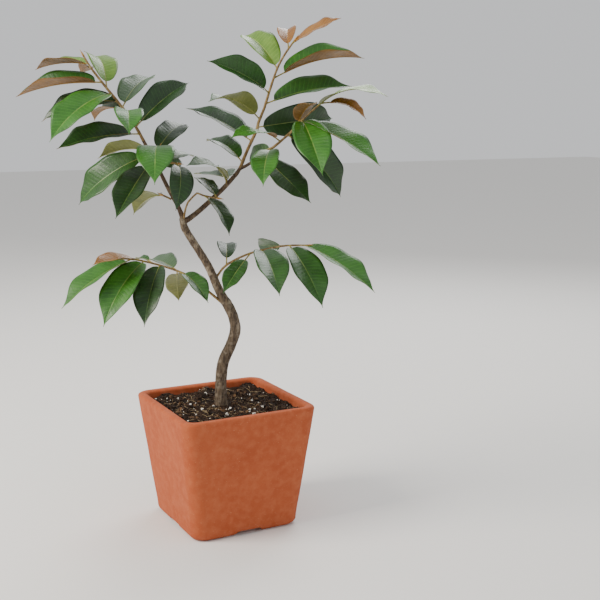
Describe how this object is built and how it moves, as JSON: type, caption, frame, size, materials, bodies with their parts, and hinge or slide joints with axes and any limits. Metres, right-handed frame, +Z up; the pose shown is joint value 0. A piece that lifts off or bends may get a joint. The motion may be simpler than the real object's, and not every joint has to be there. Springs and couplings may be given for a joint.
{
  "type": "potted star apple tree",
  "caption": "Young, leggy fruit tree in a tapered square clay pot full of soil: a thin kinked trunk forks into boughs with open sprays of glossy leaves, bronze underneath.",
  "frame": {"origin": "centre of the pot's flat underside", "axes": "+Z up along the plant; X and Y square to the pot's sides; the pictured side looks towards -X and -Y"},
  "size_m": [0.3961, 0.2775, 0.6278],
  "materials": {
    "terracotta": "matte fired clay, slightly dusty, with fine specks",
    "soil": "crumbly peat mix with sparse pale perlite",
    "bark": "dull, fine lengthwise cracks and small knots",
    "leaf": "glossy dark green above, matte bronze underneath"
  },
  "bodies": {
    "root": {"pot": "terracotta", "soil": "soil", "trunk": "bark", "left_bough": "bark", "right_bough": "bark", "right_arm": "bark", "left_top_foliage": "leaf", "left_middle_foliage": "leaf", "left_low_leaf": "leaf", "fork_sprig": "leaf", "inner_foliage": "leaf", "right_top_foliage": "leaf", "right_arm_foliage": "leaf", "low_left_foliage": "leaf", "low_right_foliage": "leaf"}
  },
  "joints": []
}
